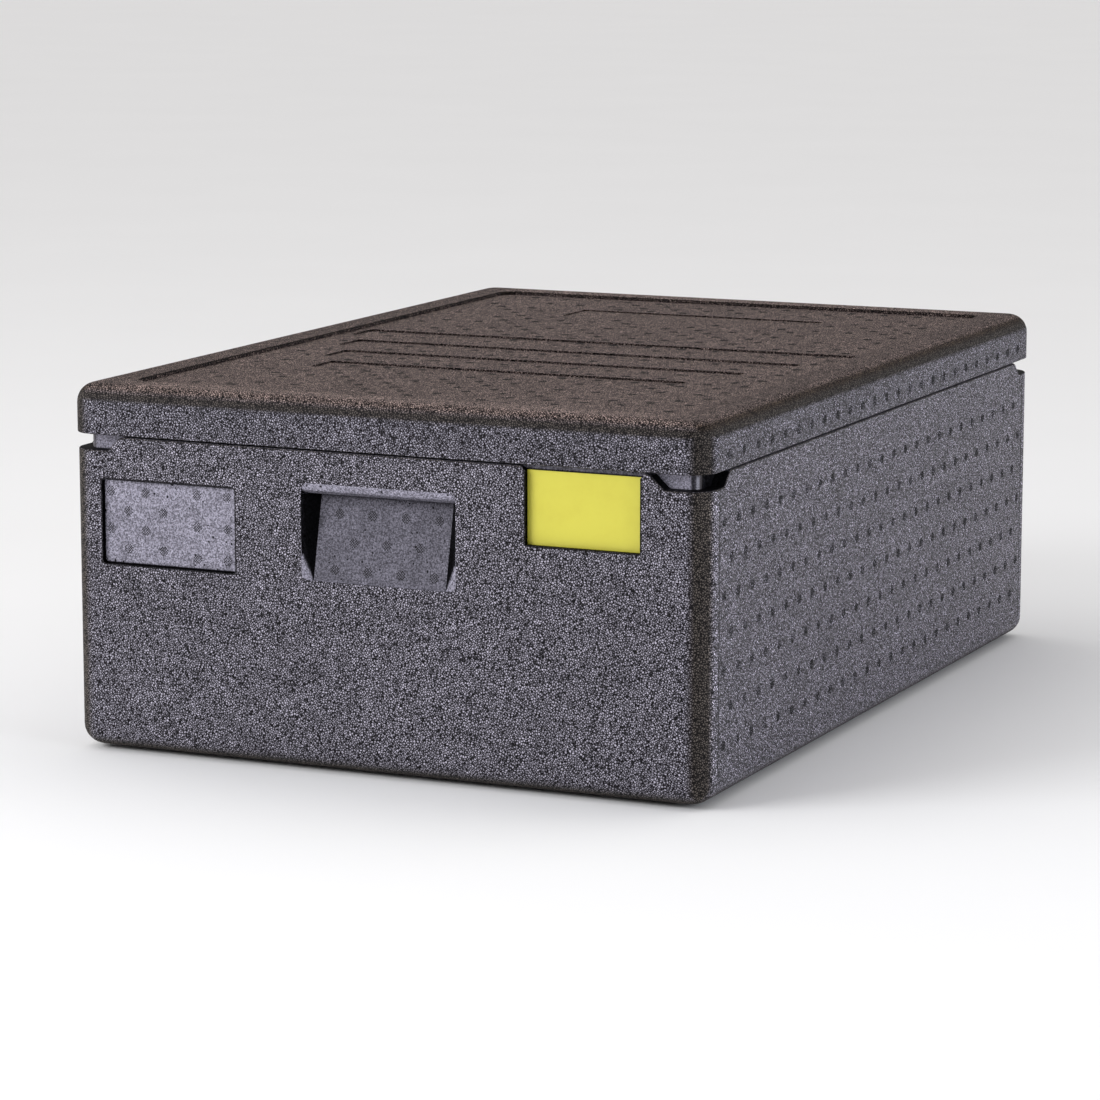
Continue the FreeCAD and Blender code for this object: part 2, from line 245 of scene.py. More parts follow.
# Pinholes in the skin: their spacing and size, how much of it a draw leaves, and the patches they come in
PINHOLE_CELL = 3.6 * MM
PINHOLE_R = 0.95 * MM
PINHOLE_DRAW = (0.35, 1.0)
PINHOLE_NOISE = (42.0, 1.0)
PINHOLE_PATCH = (0.40, 0.54)

# Roughness and gloss
BEAD_ROUGHNESS = (0.34, 0.50)
SKIN_ROUGHNESS = 0.44
ROUGHNESS_SWING = 0.2
EDGE_ROUGHNESS = 0.6
TOP_ROUGHNESS = 0.75
POLISHED_ROUGHNESS = 0.22
FOAM_GLOSS = (0.5, 1.1)
SHADED_GLOSS = 0.12
POLISHED_GLOSS = 3.2
POLISHED_LEAN = 0.21
FOAM_SPECULAR = 0.22
FOAM_SHEEN = (1.0, (1.0, 0.95, 1.06))

# Foam colours as lightness and tint: the skin's lighter colour is painted sheen, and the edge colour painted
# shade on rounded edges. The last is what surfaces that face up are multiplied by, on the lid a painted warm
# shade.
BOX_COLOURS = {"beads": (0.130, (1.03, 0.975, 1.16)), "skin": (0.240, (1.02, 0.98, 1.20)),
               "edge": (0.036, (1.18, 1.0, 0.86)), "top": (1.0, (1.0, 1.0, 1.0))}
LID_COLOURS = {"beads": (0.109, (1.02, 0.97, 1.16)), "skin": (0.120, (1.02, 0.97, 1.15)),
               "edge": (0.026, (1.18, 1.0, 0.86)), "top": (0.84, (1.27, 1.0, 0.75))}

# Card plastic
CARD_COLOUR = (0.685, 0.632, 0.067)
CARD_DULL_COLOUR = (0.65, 0.59, 0.060)
CARD_CLOUD_NOISE = (45.0, 4.0, 0.6)
CARD_GRAIN_NOISE = (2600.0, 2.0, 0.7)
CARD_SCRATCH_STRETCH = (900.0, 900.0, 60.0)
CARD_SCRATCH_NOISE = (1.0, 3.0, 0.6)
CARD_SCRATCH = (0.60, 0.72)
CARD_DULLS = (0.35, 0.75)
CARD_ROUGHNESS = (0.36, 0.52)
CARD_SCRATCH_ROUGHNESS = 0.12
CARD_GRAIN_RELIEF = 0.02
CARD_SCRATCH_RELIEF = -0.015

# Foam of the vent nubs
VENT_LIGHT = 0.012
VENT_NOISE = (800.0, 2.0, 0.6)
VENT_NOISE_RANGE = (0.3, 0.7)
VENT_SWING = (0.7, 1.3)
VENT_ROUGHNESS = (0.55, 0.75)
VENT_RELIEF = 0.1
VENT_SPECULAR = 0.2

# Steam vent marks left by the mould: round groups of small nubs
VENT_R = 4.0 * MM
VENT_PITCH = 25.4 * MM
NUB_PITCH = 1.9 * MM
NUB_R = 0.65 * MM
NUB_TOP_SHARE = 0.6
NUB_FOOT = 0.05 * MM
NUB_HEIGHT = 0.25 * MM
NUB_RING = ((1, 0), (0, 1), (-1, 0), (0, -1))

# Vent marks on the label panel, in millimetres from its centre: four staggered rows, then three straight ones
PANEL_VENTS_LEFT_U = (-47.5, -19.5)
PANEL_VENTS_LEFT_ROWS = 4
PANEL_VENTS_LEFT_SHIFT = 14
PANEL_VENTS_LEFT_TOP = 21.5
PANEL_VENTS_LEFT_PITCH = 13.5
PANEL_VENTS_RIGHT_U = (21.5, 45.5)
PANEL_VENTS_RIGHT_PITCH = 22.5

# Vent marks on the handle's back, on the long sides and on the lid
HANDLE_VENT_COUNTS = (4, 3, 4)
HANDLE_VENT_TOP_Z = HANDLE_HIGH_Z - 14 * MM
HANDLE_VENT_PITCH = 19 * MM
HANDLE_VENT_SHIFT = 3 * MM
SIDE_VENT_END = 24 * MM
SIDE_VENT_LOW = 28 * MM
SIDE_VENT_HIGH = 22 * MM
LID_TOP_NUB_HEIGHT = 0.24 * MM
LID_TOP_VENT_PITCH = (28 * MM, 17 * MM)
LID_TOP_VENT_EDGE = 10 * MM
LID_TOP_VENTS_MISSING = 0.3
LID_TOP_VENT_SEED = 5
LID_SIDE_VENT_Z = LID_LOW.z + 10 * MM
LID_SIDE_VENT_ENDS = 60 * MM

# Surroundings: colours as lightness and tint, azimuth and elevation, inner and outer angle, all in degrees
HORIZON = (0.74, (1.0, 0.98, 1.0))
ZENITH = (1.45, (1.0, 0.99, 0.99))
SKY_RISE = (0.15, 0.7)
BACKDROP = (0.42, (1.0, 0.97, 0.95))
BACKDROP_DIRECTION = (204, 12)
BACKDROP_ANGLES = (20, 60)
GAP_COLOUR = (0.06, (1.0, 0.95, 0.95))
GAP_DIRECTION = (40, 32)
GAP_ANGLES = (28, 66)

# Floor
FLOOR_R = 40.0
FLOOR_SIDES = 96
FLOOR_LIGHT = 0.93
FLOOR_ROUGHNESS = 0.8
FLOOR_NOISE = (3.0, 3.0)
FLOOR_SWING = (0.97, 1.0)

# Lamps and camera. A direction is an azimuth and an elevation in degrees.
LAMP_TARGET = Vector((0, 0, 0.13))
LAMP_DISTANCE = 3.2
LAMP_SIZE = (1.6, 1.2)
FRONT_LEFT_LAMP = {"power": 50.0, "colour": (0.97, 0.98, 1.0), "direction": (-38, 26)}
RIGHT_LAMP = {"power": 30.0, "colour": (0.91, 0.955, 1.04), "direction": (74, 15)}
CAMERA_PLACE = (1.262, -2.831, 0.652)
CAMERA_LENS = 135.7
CAMERA_SENSOR = 36.0
CAMERA_CLIP = (0.1, 200.0)
CAMERA_AIM_PASSES = 4


class Graph:
    """A node tree, built with short calls that return sockets."""

    def __init__(self, owner):
        owner.use_nodes = True
        self.owner = owner
        self.tree = owner.node_tree
        self.tree.nodes.clear()

    def node(self, kind, inputs, **settings):
        """A node, with each input linked to a socket or set to a value."""
        made = self.tree.nodes.new(kind)
        for key, value in settings.items():
            setattr(made, key, value)
        for key, value in inputs.items():
            if isinstance(value, bpy.types.NodeSocket):
                self.tree.links.new(value, made.inputs[key])
            else:
                made.inputs[key].default_value = value
        return made

    def math(self, operation, a, b=0.0):
        return self.node("ShaderNodeMath", {0: a, 1: b}, operation=operation).outputs[0]

    def add(self, a, b):
        return self.math("ADD", a, b)

    def minus(self, a, b):
        return self.math("SUBTRACT", a, b)

    def size(self, value):
        return self.math("ABSOLUTE", value)

    def above(self, value, limit):
        return self.math("GREATER_THAN", value, limit)

    def below(self, value, limit):
        return self.math("LESS_THAN", value, limit)

    def either(self, a, b):
        return self.math("MAXIMUM", a, b)

    def lesser(self, a, b):
        return self.math("MINIMUM", a, b)

    def times(self, product, *factors):
        """Product of numbers. For masks, it is 1 where all of them are."""
        for factor in factors:
            product = self.math("MULTIPLY", product, factor)
        return product

    def inverse(self, mask):
        return self.minus(1.0, mask)

    def scaled(self, value, mask, factor):
        """The value, multiplied by the factor where the mask is 1."""
        return self.times(value, self.mix(mask, 1.0, factor))

    def step(self, value, low, high, start=0.0, end=1.0):
        """Smooth change from start to end as value goes from low to high."""
        inputs = {"Value": value, "From Min": low, "From Max": high, "To Min": start, "To Max": end}
        return self.node("ShaderNodeMapRange", inputs, interpolation_type="SMOOTHSTEP").outputs["Result"]

    def fade(self, value, low, high):
        """Smooth change from 1 to 0 as value goes from low to high."""
        return self.step(value, low, high, 1.0, 0.0)

    def mix(self, factor, a, b):
        """Between two numbers."""
        return self.node("ShaderNodeMix", {0: factor, 2: a, 3: b}, data_type="FLOAT").outputs[0]

    def tint(self, factor, a, b, blend="MIX"):
        """Between two colours."""
        inputs = {0: factor, 6: a, 7: b}
        return self.node("ShaderNodeMix", inputs, data_type="RGBA", blend_type=blend).outputs[2]

    def shade(self, light):
        """Grey as light as a number."""
        return self.node("ShaderNodeCombineColor", {0: light, 1: light, 2: light}).outputs[0]

    def noise(self, point, scale, detail=2.0, roughness=0.5):
        inputs = {"Vector": point, "Scale": scale, "Detail": detail, "Roughness": roughness}
        return self.node("ShaderNodeTexNoise", inputs).outputs["Fac"]

    def cells(self, point, size, feature="F1", randomness=1.0):
        inputs = {"Vector": point, "Scale": 1 / size, "Randomness": randomness}
        return self.node("ShaderNodeTexVoronoi", inputs, feature=feature).outputs

    def parts(self, colour):
        return self.node("ShaderNodeSeparateColor", {0: colour}).outputs

    def axes(self, vector):
        return self.node("ShaderNodeSeparateXYZ", {0: vector}).outputs

    def vector(self, operation, a, b=(0.0, 0.0, 0.0)):
        return self.node("ShaderNodeVectorMath", {0: a, 1: b}, operation=operation).outputs[0]

    def bump(self, height):
        """Normal of a relief whose height is in millimetres."""
        return self.node("ShaderNodeBump", {"Height": height, "Strength": 1.0, "Distance": MM}).outputs[0]

    def finish(self, inputs):
        """Ends a material with a shader that has these inputs, and returns the material."""
        shader = self.node("ShaderNodeBsdfPrincipled", inputs).outputs[0]
        self.node("ShaderNodeOutputMaterial", {"Surface": shader})
        return self.owner


class Spot:
    """The surface point that is shaded, as sockets: its place, its inset and which way it faces.

    across is measured to the right of the middle of the nearer end, seen from outside.
    """

    def __init__(self, g):
        texture = g.node("ShaderNodeTexCoord", {}).outputs
        self.point = texture["Object"]
        self.x, self.y, self.z = g.axes(self.point)
        normal_x, normal_y, self.up = g.axes(texture["Normal"])
        self.sideways = g.size(normal_x)
        self.endways = g.size(normal_y)
        self.inset = outline_inset(g, self.x, self.y)
        self.across = g.times(self.x, g.math("SIGN", self.y), -1.0)


def new_material(name):
    return Graph(bpy.data.materials.new(name))


def grey(value, tint=(1.0, 1.0, 1.0)):
    return (value * tint[0], value * tint[1], value * tint[2], 1.0)


def rounded_reach(g, dx, dy):
    """Distance past the straight sides of a rounded rectangle, which equals its radius on its outline."""
    past_x = g.either(dx, 0.0)
    past_y = g.either(dy, 0.0)
    squares = g.add(g.times(past_x, past_x), g.times(past_y, past_y))
    inside = g.lesser(g.either(dx, dy), 0.0)
    return g.add(g.math("SQRT", squares), inside)


def outline_inset(g, x, y):
    """How far a point is inside the upright outer wall, which has rounded corners."""
    dx = g.minus(g.size(x), HALF_WIDTH - CORNER_R)
    dy = g.minus(g.size(y), HALF_LENGTH - CORNER_R)
    return g.minus(CORNER_R, rounded_reach(g, dx, dy))


def past_outline(g, spot, centre, half_size, radius):
    """Distance outside a rounded rectangle on an end, negative inside it."""
    dx = g.minus(g.size(g.minus(spot.across, centre[0])), half_size[0] - radius)
    dz = g.minus(g.size(g.minus(spot.z, centre[1])), half_size[1] - radius)
    return g.minus(rounded_reach(g, dx, dz), radius)


def handle_outline(g, spot):
    """1 inside the rounded outline of the handle recess, seen along Y."""
    half_height = (HANDLE_LIP_Z - HANDLE_LOW_Z) / 2
    half_size = (HANDLE_HALF_WIDTH, half_height)
    past = past_outline(g, spot, (0.0, HANDLE_LOW_Z + half_height), half_size, HANDLE_CORNER_R)
    return g.fade(past, *HANDLE_OUTLINE)


def panel_shade_line(g, spot):
    """1 on the painted shade line round the label panel, but not on its floor at the edge away from the card.
    """
    past = past_outline(g, spot, PANEL_CENTRE, PANEL_HALF_SIZE, PANEL_CORNER_R)
    line = g.times(g.step(past, *PANEL_LINE_INNER), g.fade(past, *PANEL_LINE_OUTER),
                   g.below(spot.inset, PANEL_LINE_DEEPEST))
    far_edge = g.below(spot.across, PANEL_CENTRE[0] - PANEL_HALF_SIZE[0] + PANEL_LINE_WIDTH)
    far_floor = g.times(far_edge, g.above(spot.inset, PANEL_FLOOR_INSET))
    return g.times(line, g.inverse(far_floor))


def window_shade_line(g, spot):
    """1 on the painted shade line round the card window, up to where the window bends inwards."""
    middle = (WINDOW_X, WINDOW_LOW_Z + WINDOW_HALF_HEIGHT)
    half_size = (WINDOW_HALF_WIDTH, WINDOW_HALF_HEIGHT)
    past = past_outline(g, spot, middle, half_size, WINDOW_CORNER_R)
    return g.times(g.above(past, WINDOW_LINE_INNER), g.fade(past, *WINDOW_LINE_OUTER),
                   g.fade(spot.z, *WINDOW_LINE_TOP), g.below(spot.inset, POCKET_DEPTH))


def parting_line(g, spot):
    """Thin upright line near the corners on the long sides of the box, and the light strip outside it."""
    past = g.minus(g.size(spot.y), PARTING_Y)
    side = g.times(g.step(spot.sideways, *PARTING_SIDEWAYS), g.step(spot.z, *PARTING_Z),
                   g.below(spot.z, PARTING_TOP_Z))
    line = g.times(side, g.fade(g.size(past), *PARTING_LINE))
    strip = g.times(side, g.step(past, *PARTING_STRIP))
    return line, strip


def rounding(g, spot):
    """1 on rounded corners and edges, which get painted shade, and 0 on flat faces."""
    corner = g.step(g.lesser(spot.sideways, spot.endways), *CORNER_FACING)
    on_side = g.above(spot.sideways, spot.endways)
    fade = g.mix(on_side, g.fade(spot.up, *UPPER_EDGE_END_UP), g.fade(spot.up, *UPPER_EDGE_SIDE_UP))
    upper = g.times(g.step(spot.up, *UPPER_EDGE_UP), fade)
    lower = g.fade(spot.up, *LOWER_EDGE_UP)
    return g.either(corner, g.either(upper, lower))


def recess_shade(g, spot, smooth, handle):
    """Mask of painted shade: 1 on the side walls of the recesses and the floors of the notches, and less on
    the ledge above them.
    """
    above_handle = g.step(spot.z, ABOVE_HANDLE_Z, ABOVE_HANDLE_Z + MM)
    deepest = g.mix(above_handle, RECESS_DEEPEST, LEDGE_DEEPEST)
    recess = g.times(g.below(spot.inset, deepest), smooth, g.below(spot.z, LEDGE_SHADE_TOP_Z))
    wall = g.step(spot.sideways, *WALL_SIDEWAYS)
    wall = g.mix(handle, wall, g.step(spot.sideways, *HANDLE_WALL_SIDEWAYS))
    ledge = g.times(g.step(spot.up, *LEDGE_UP), g.inverse(handle))
    top_ledge = g.times(g.above(spot.z, LEDGE_Z - MM), ledge)
    return g.scaled(g.times(recess, g.either(wall, ledge)), top_ledge, LEDGE_SHADE)


def handle_parts(g, spot, handle):
    """Masks of the handle's back, of its top under the lip, which gets a painted shadow, and of the lip's
    rim, which gets painted light.
    """
    back = g.times(handle, g.step(spot.inset, *HANDLE_BACK_INSET), g.below(spot.inset, RECESS_DEEPEST))
    under_lip = g.times(back, g.step(spot.z, *UNDER_LIP_Z), g.step(spot.inset, *UNDER_LIP_INSET))
    rim = g.times(handle, g.step(spot.up, *HANDLE_RIM_UP))
    return back, under_lip, rim


def tongue_parts(g, spot):
    """Masks of the tongue's outer face, which gets painted light, and of its rounded corners, which are
    polished and get painted shade.
    """
    away = g.size(g.minus(spot.inset, TONGUE_INSET))
    tongue = g.times(g.below(away, TONGUE_REACH), g.above(spot.z, TONGUE_LOW_Z))
    corner = g.step(g.lesser(spot.sideways, spot.endways), *TONGUE_CORNER_FACING)
    polish = g.times(tongue, corner, g.fade(spot.up, *TONGUE_CORNER_UP))
    return tongue, polish


def pocket_parts(g, spot):
    """Masks of the card pocket, which gets painted shade, and of its part that the card covers, whose edge
    just above the card is a painted shadow line.
    """
    away = g.size(g.minus(spot.across, WINDOW_X))
    pocket = g.times(g.below(away, WINDOW_HALF_WIDTH + POCKET_MARGIN), g.step(spot.z, *POCKET_Z),
                     g.below(spot.inset, POCKET_DEPTH))
    return pocket, g.times(pocket, g.fade(spot.z, *BEHIND_CARD_Z))


def box_surface(g, spot):
    """Where the box is smooth, how light its skin is with its painted shade and light, where it's shaded, and
    where it's polished.
    """
    handle = handle_outline(g, spot)
    recessed = g.times(g.step(spot.inset, *SKIN_INSET), g.step(spot.z, *SKIN_Z))
    smooth = g.either(recessed, handle)
    shaded = recess_shade(g, spot, smooth, handle)
    back, under_lip, rim = handle_parts(g, spot, handle)
    tongue, polish = tongue_parts(g, spot)
    pocket, behind_card = pocket_parts(g, spot)
    # Painted shade on recess walls, notch floors, under the lip, on the tongue's corners, in the pocket and
    # behind the card; painted light on the handle's rim and the tongue's face
    lightness = 1.0
    for mask, factor in ((shaded, SHADED_LIGHT), (under_lip, UNDER_LIP_LIGHT), (rim, HANDLE_RIM_LIGHT),
                         (tongue, TONGUE_LIGHT), (polish, TONGUE_CORNER_LIGHT), (pocket, POCKET_LIGHT),
                         (behind_card, BEHIND_CARD_LIGHT)):
        lightness = g.scaled(lightness, mask, factor)
    # Painted sheen on the skin, and painted shade on the handle's slanted back
    lightness = g.times(lightness, g.mix(back, SKIN_LIGHT, HANDLE_BACK_LIGHT))
    dark = g.times(g.either(shaded, under_lip), g.inverse(polish))
    return {"smooth": smooth, "lightness": lightness, "shaded": dark, "polish": polish, "wall": 0.0}


def lid_surface(g, spot):
    """The lid is smooth under its rim, and gets painted shade on the low walls round its panel, strips and
    plaque.
    """
    smooth = g.times(g.step(spot.inset, *LID_SKIN_INSET), g.fade(spot.z, *LID_SKIN_Z))
    wall = g.times(g.step(spot.inset, *LID_WALL_INSET), g.step(spot.z, *LID_WALL_Z),
                   g.fade(spot.up, *LID_WALL_UP))
    return {"smooth": smooth, "lightness": 1.0, "shaded": 0.0, "polish": 0.0, "wall": wall}


def beads(g, point):
    """Packed beads: how high the point is, how clear of a seam (0 to 1), and the tone of its bead."""
    turned = g.node("ShaderNodeMapping", {"Vector": point, "Rotation": LATTICE_TURN}).outputs[0]
    warp_inputs = {"Vector": turned, "Scale": WARP_SCALE, "Detail": 1.0}
    warp = g.node("ShaderNodeTexNoise", warp_inputs).outputs["Color"]
    shift = g.node("ShaderNodeVectorMath", {0: warp, "Scale": WARP}, operation="SCALE").outputs[0]
    warped = g.vector("ADD", turned, shift)
    bead = g.cells(warped, BEAD, randomness=BEAD_RANDOMNESS)
    seam = g.cells(warped, BEAD, "DISTANCE_TO_EDGE", BEAD_RANDOMNESS)
    clear = g.step(seam["Distance"], *CLEAR_OF_SEAM)
    dome = g.inverse(g.times(bead["Distance"], bead["Distance"]))
    height = g.times(dome, g.mix(clear, SEAM_SHARE, 1.0))
    return height, clear, g.parts(bead["Color"])[1]


def pinholes(g, point):
    """1 in small holes of uneven size and place."""
    hole = g.cells(point, PINHOLE_CELL)
    draw = g.step(g.parts(hole["Color"])[0], *PINHOLE_DRAW)
    patch = g.step(g.noise(point, *PINHOLE_NOISE), *PINHOLE_PATCH)
    return g.below(hole["Distance"], g.times(draw, PINHOLE_R / PINHOLE_CELL, patch))


def foam_masks(g, spot, surface):
    """What the parts of a foam's look share: its masks, beads and noises."""
    look = surface(g, spot)
    look["beaded"] = g.inverse(look["smooth"])
    look["edge"] = rounding(g, spot)
    look["top"] = g.either(g.times(g.step(spot.up, *TOP_UP), look["beaded"]), look["wall"])
    look["height"], look["clear"], look["tone"] = beads(g, spot.point)
    look["pinhole"] = g.times(pinholes(g, spot.point), look["smooth"])
    look["fine"] = g.noise(spot.point, *FINE_NOISE)
    look["coarse"] = g.noise(spot.point, *COARSE_NOISE)
    return look


def foam_relief(g, look):
    """Height of beads and skin in millimetres."""
    bead_relief = g.times(g.add(look["height"], g.times(look["fine"], GRAIN_SHARE)), BEAD_RELIEF)
    bead_relief = g.scaled(bead_relief, look["edge"], EDGE_SHARE)
    skin_relief = g.minus(g.times(look["fine"], GRAIN_RELIEF), g.times(look["pinhole"], PINHOLE_RELIEF))
    return g.mix(look["smooth"], bead_relief, skin_relief)


def grain_light(g, look):
    """How light the beads are, with painted highlights, and their seams, with painted shade, and the skin
    with its pinholes and its painted shade and light.
    """
    clear = look["clear"]
    bead_light = g.times(g.mix(clear, *BEAD_LIGHT), g.mix(look["tone"], *BEAD_TONES))
    bead_light = g.mix(look["edge"], bead_light, g.mix(clear, *EDGE_BEAD_LIGHT))
    skin_light = g.times(g.step(look["fine"], *FINE_TO_SKIN_LIGHT), g.mix(clear, *SKIN_BEAD_LIGHT))
    skin_light = g.scaled(skin_light, look["pinhole"], PINHOLE_LIGHT)
    return g.mix(look["smooth"], bead_light, g.times(skin_light, look["lightness"]))


def lined_light(g, spot, look, light):
    """The light with the painted shade of the lid's low walls and of the lines round the panel and window on
    the ends, and the parting lines drawn in.
    """
    light = g.scaled(light, g.times(look["wall"], g.step(look["coarse"], *WALL_BREAKS)), LID_WALL_LIGHT)
    light = g.scaled(light, g.either(panel_shade_line(g, spot), window_shade_line(g, spot)), END_SHADE_LINE_LIGHT)
    line, strip = parting_line(g, spot)
    light = g.scaled(light, line, PARTING_LIGHT)
    return g.scaled(light, strip, PARTING_STRIP_LIGHT)


def rim_light(g, spot, look):
    """Painted shade and light of the lid's raised rim: how much darker it is along the sides, and how much
    lighter across the ends.
    """
    rim = g.times(look["top"], g.step(spot.z, *RIM_Z))
    past_side = g.minus(g.size(spot.x), LID_PANEL_HALF_WIDTH)
    at_end = g.times(g.step(g.size(spot.y), *END_RIM_Y), g.fade(past_side, *END_RIM_PAST_SIDE))
    return g.mix(rim, 1.0, g.mix(at_end, SIDE_RIM_LIGHT, END_RIM_LIGHT))


def uneven_light(g, spot, look, light):
    """The light with soft clouds all over, grain on the sides and the top, and the painted shade and light of
    the lid's rim.
    """
    light = g.times(light, g.mix(g.noise(spot.point, *CLOUD_NOISE), *CLOUD_LIGHT),
                    g.step(look["coarse"], *COARSE_TO_LIGHT))
    on_side = g.step(spot.sideways, *SIDE_SIDEWAYS)
    light = g.scaled(light, on_side, g.step(g.noise(spot.point, *SIDE_NOISE), *SIDE_TO_LIGHT))
    light = g.times(light, rim_light(g, spot, look))
    return g.scaled(light, look["top"], g.step(g.noise(spot.point, *TOP_NOISE), *TOP_TO_LIGHT))


def foam_colour(g, look, colours):
    """Colour of beads, skin, edges and the top, before light and shade: painted sheen on the skin, painted
    shade on the edges, and on the lid a painted warm shade on the top.
    """
    base = g.tint(look["smooth"], grey(*colours["beads"]), grey(*colours["skin"]))
    base = g.tint(g.times(look["edge"], look["beaded"]), base, grey(*colours["edge"]))
    return g.tint(look["top"], base, g.tint(1.0, base, grey(*colours["top"]), "MULTIPLY"))


def foam_roughness(g, look):
    """Roughness: each bead has its own, edges and the top are duller, and the tongue's corners shine."""
    roughness = g.mix(look["smooth"], g.mix(look["tone"], *BEAD_ROUGHNESS), SKIN_ROUGHNESS)
    roughness = g.add(roughness, g.times(g.minus(look["coarse"], 0.5), ROUGHNESS_SWING))
    roughness = g.mix(look["edge"], roughness, EDGE_ROUGHNESS)
    roughness = g.mix(look["top"], roughness, TOP_ROUGHNESS)
    return g.mix(look["polish"], roughness, POLISHED_ROUGHNESS)


def foam_gloss(g, look):
    """Specular level: beads shine more than seams and skin, and shaded walls hardly at all."""
    gloss = g.mix(g.times(look["clear"], look["beaded"]), *FOAM_GLOSS)
    gloss = g.scaled(gloss, look["shaded"], SHADED_GLOSS)
    return g.times(g.mix(look["polish"], gloss, POLISHED_GLOSS), FOAM_SPECULAR)


def foam_normal(g, look):
    """Normal of the relief, leaned upwards on the tongue's polished corners so that they catch light."""
    lean = g.node("ShaderNodeCombineXYZ", {2: g.times(look["polish"], POLISHED_LEAN)}).outputs[0]
    return g.vector("NORMALIZE", g.vector("ADD", g.bump(foam_relief(g, look)), lean))


def foam(name, surface, colours):
    """Bead foam: domed beads with dark seams on the outside, smooth skin with pinholes in the recesses."""
    g = new_material(name)
    spot = Spot(g)
    look = foam_masks(g, spot, surface)
    light = uneven_light(g, spot, look, lined_light(g, spot, look, grain_light(g, look)))
    base = g.tint(1.0, foam_colour(g, look, colours), g.shade(light), "MULTIPLY")
    return g.finish({"Base Color": base, "Roughness": foam_roughness(g, look), "Normal": foam_normal(g, look),
                     "Specular IOR Level": foam_gloss(g, look), "Specular Tint": grey(*FOAM_SHEEN)})


def card_plastic(name):
    """Satin plastic card with fine grain, faint upright scratches and a duller tone here and there."""
    g = new_material(name)
    point = g.node("ShaderNodeTexCoord", {}).outputs["Object"]
    cloud = g.noise(point, *CARD_CLOUD_NOISE)
    grain = g.noise(point, *CARD_GRAIN_NOISE)
    stretched = g.node("ShaderNodeMapping", {"Vector": point, "Scale": CARD_SCRATCH_STRETCH}).outputs[0]
    scratch = g.step(g.noise(stretched, *CARD_SCRATCH_NOISE), *CARD_SCRATCH)
    base = g.tint(g.step(cloud, *CARD_DULLS), grey(1.0, CARD_COLOUR), grey(1.0, CARD_DULL_COLOUR))
    roughness = g.add(g.mix(cloud, *CARD_ROUGHNESS), g.times(scratch, CARD_SCRATCH_ROUGHNESS))
    height = g.add(g.times(grain, CARD_GRAIN_RELIEF), g.times(scratch, CARD_SCRATCH_RELIEF))
    return g.finish({"Base Color": base, "Roughness": roughness, "Normal": g.bump(height)})


def vent_plastic(name):
    """Dull dark foam of the vent nubs, a little uneven."""
    g = new_material(name)
    point = g.node("ShaderNodeTexCoord", {}).outputs["Object"]
    grain = g.noise(point, *VENT_NOISE)
    light = g.step(grain, *VENT_NOISE_RANGE, *(swing * VENT_LIGHT for swing in VENT_SWING))
    return g.finish({"Base Color": g.shade(light), "Roughness": g.mix(grain, *VENT_ROUGHNESS),
                     "Normal": g.bump(g.times(grain, VENT_RELIEF)), "Specular IOR Level": VENT_SPECULAR})


def studio_paper(name):
    """Pale floor with the slightest unevenness."""
    g = new_material(name)
    point = g.node("ShaderNodeTexCoord", {}).outputs["Object"]
    tone = g.mix(g.noise(point, *FLOOR_NOISE), *FLOOR_SWING)
    base = g.tint(1.0, grey(FLOOR_LIGHT), g.shade(tone), "MULTIPLY")
    return g.finish({"Base Color": base, "Roughness": FLOOR_ROUGHNESS})


def vent_nubs():
    """Offsets of the nubs in one vent mark: a staggered grid inside a circle."""
    reach = int(VENT_R / NUB_PITCH) + 1
    spots = []
    for row in range(-2 * reach, 2 * reach + 1):
        for column in range(-reach, reach + 1):
            u = (column + 0.5 * (row % 2)) * NUB_PITCH
            v = row * NUB_PITCH * 0.5
            if math.hypot(u, v) < VENT_R - NUB_R:
                spots.append((u, v))
    return spots


def nub(bm, spot, right, up, out, height):
    """One nub: a four-sided cone with its point cut off. Its foot is just inside the foam."""
    directions = [right * a + up * b for a, b in NUB_RING]
    foot = [bm.verts.new(spot + aside * NUB_R - out * NUB_FOOT) for aside in directions]
    head = [bm.verts.new(spot + aside * NUB_R * NUB_TOP_SHARE + out * height) for aside in directions]
    for index in range(len(directions)):
        after = (index + 1) % len(directions)
        bm.faces.new((foot[index], foot[after], head[after], head[index]))
    bm.faces.new(head)


def new_object(name, bm, material):
    """Object made of a finished mesh, which is freed."""
    mesh = bpy.data.meshes.new(name)
    bm.to_mesh(mesh)
    bm.free()
    made = bpy.data.objects.new(name, mesh)
    bpy.context.scene.collection.objects.link(made)
    made.data.materials.append(material)
    return made


def vent_marks(name, centres, right, up, body, material, height=NUB_HEIGHT):
    """One piece with a vent mark at each centre. right and up span the surface, which faces right x up."""
    right = Vector(right).normalized()
    up = Vector(up).normalized()
    out = right.cross(up)
    bm = bmesh.new()
    for centre in centres:
        for u, v in vent_nubs():
            nub(bm, Vector(centre) + right * u + up * v, right, up, out, height)
    piece = new_object(name, bm, material)
    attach(piece, body)


def staggered(low_u, high_u, low_v, high_v, pitch_u, pitch_v):
    """Centres of a grid, centred in a rectangle, in which every other row is half a pitch along."""
    rows = int((high_v - low_v) / pitch_v)
    start_v = (low_v + high_v - rows * pitch_v) / 2
    columns = int((high_u - low_u - 0.5 * pitch_u) / pitch_u)
    start_u = (low_u + high_u - columns * pitch_u) / 2
    spots = []
    for row in range(rows + 1):
        offset = 0.25 * pitch_u if row % 2 else -0.25 * pitch_u
        for column in range(columns + 1):
            spots.append((start_u + offset + column * pitch_u, start_v + row * pitch_v))
    return spots


